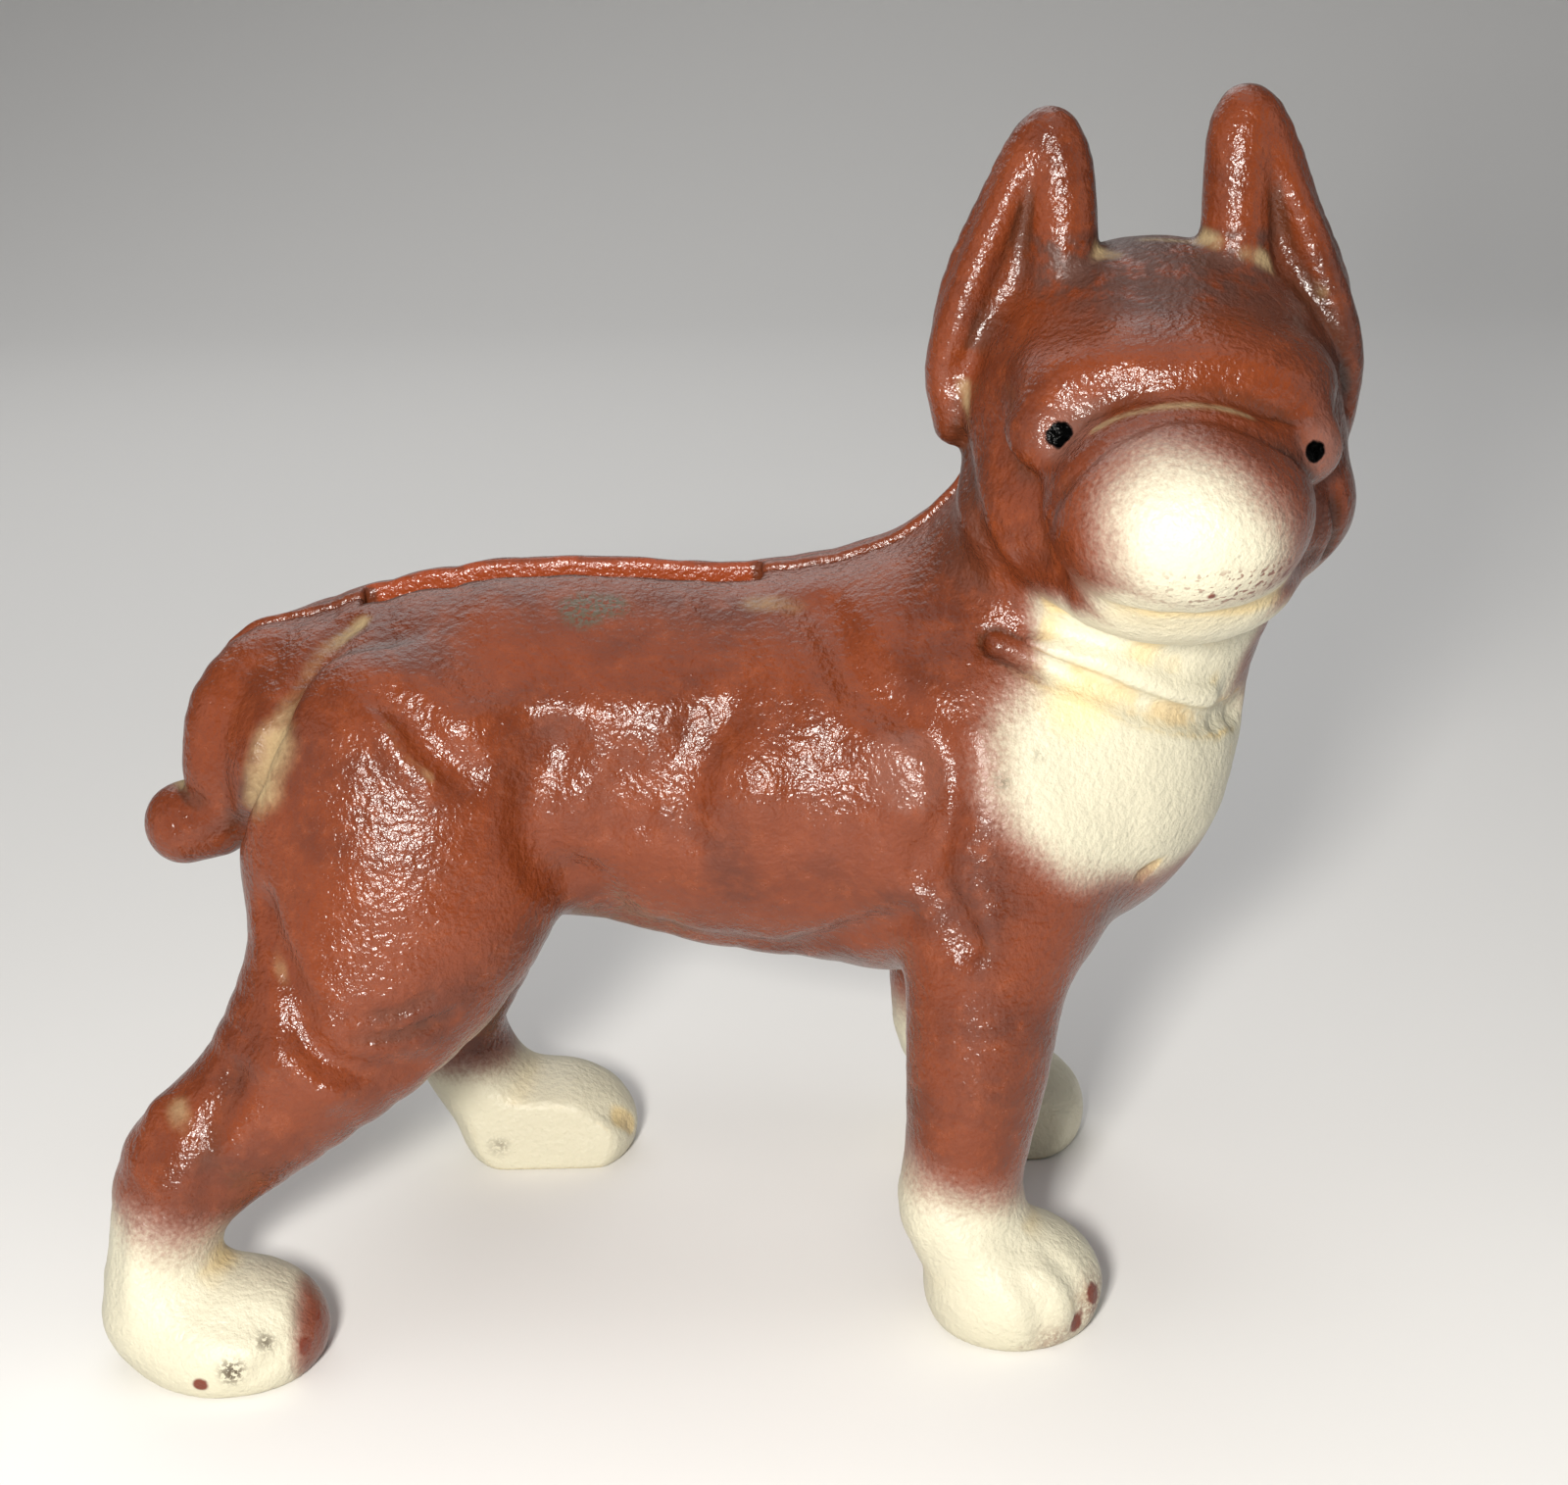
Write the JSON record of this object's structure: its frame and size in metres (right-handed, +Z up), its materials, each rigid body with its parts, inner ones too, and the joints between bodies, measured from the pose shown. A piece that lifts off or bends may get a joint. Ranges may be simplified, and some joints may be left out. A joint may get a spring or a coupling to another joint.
{
  "type": "figural dog coin bank",
  "caption": "Standing pug-faced dog money bank, a hollow two-part iron casting parted down its middle, with a coin slot in the back and one assembly screw.",
  "frame": {"origin": "on the floor under the middle of the standing bank's bounding box", "axes": "+X from tail to chest along the dog's body, +Y towards the dog's left side, square to the parting plane, +Z up; the face looks along -Y"},
  "size_m": [0.1387, 0.0794, 0.1331],
  "materials": {
    "painted_iron": "glossy red-brown enamel with sprayed cream muzzle, chest and feet over rough sand-cast iron",
    "screw_steel": "dull aged steel"
  },
  "bodies": {
    "right_half": {"right_half_casting": "painted_iron"},
    "left_half": {"left_half_casting": "painted_iron"},
    "screw": {"assembly_screw": "screw_steel"}
  },
  "joints": [
    {"name": "halves_apart", "type": "slide", "parent": "right_half", "child": "left_half", "axis": [0, 1, 0], "range_m": [0, 0.06]},
    {"name": "screw_turn", "type": "hinge", "parent": "left_half", "child": "screw", "pos_m": [0.0183, 0.02775, 0.0645], "axis": [0, 1, 0], "continuous": true}
  ]
}
